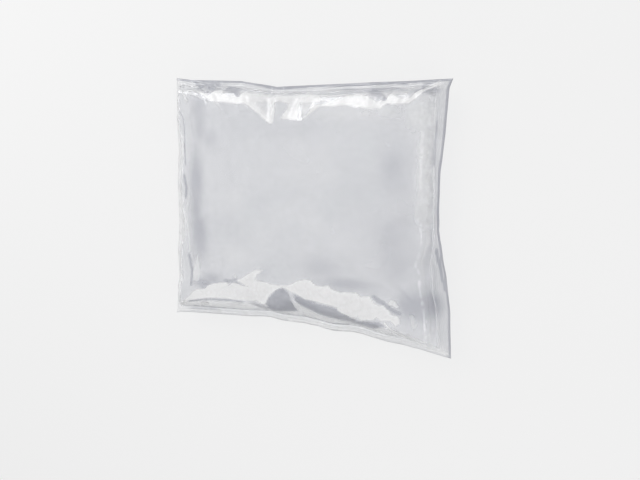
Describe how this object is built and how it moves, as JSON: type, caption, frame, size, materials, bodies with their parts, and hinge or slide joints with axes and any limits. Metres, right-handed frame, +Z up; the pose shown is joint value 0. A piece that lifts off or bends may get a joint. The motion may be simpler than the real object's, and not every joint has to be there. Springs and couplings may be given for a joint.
{
  "type": "reusable ice pack",
  "caption": "Clear film pouch, welded on all four sides and filled with clear gel, that is frozen and laid against what it keeps cold.",
  "frame": {"origin": "under the middle of the pack, on the surface that it lies on", "axes": "+X along the width, +Y towards the pictured top edge, +Z up through the thickness, out of the front sheet"},
  "size_m": [0.204, 0.161, 0.0218],
  "materials": {
    "film": "clear, glossy, soft plastic film",
    "gel": "clear, faintly cool grey gel with a few small bubbles"
  },
  "bodies": {
    "root": {"back_film": "film", "gel_fill": "gel", "front_film": "film"}
  },
  "joints": []
}
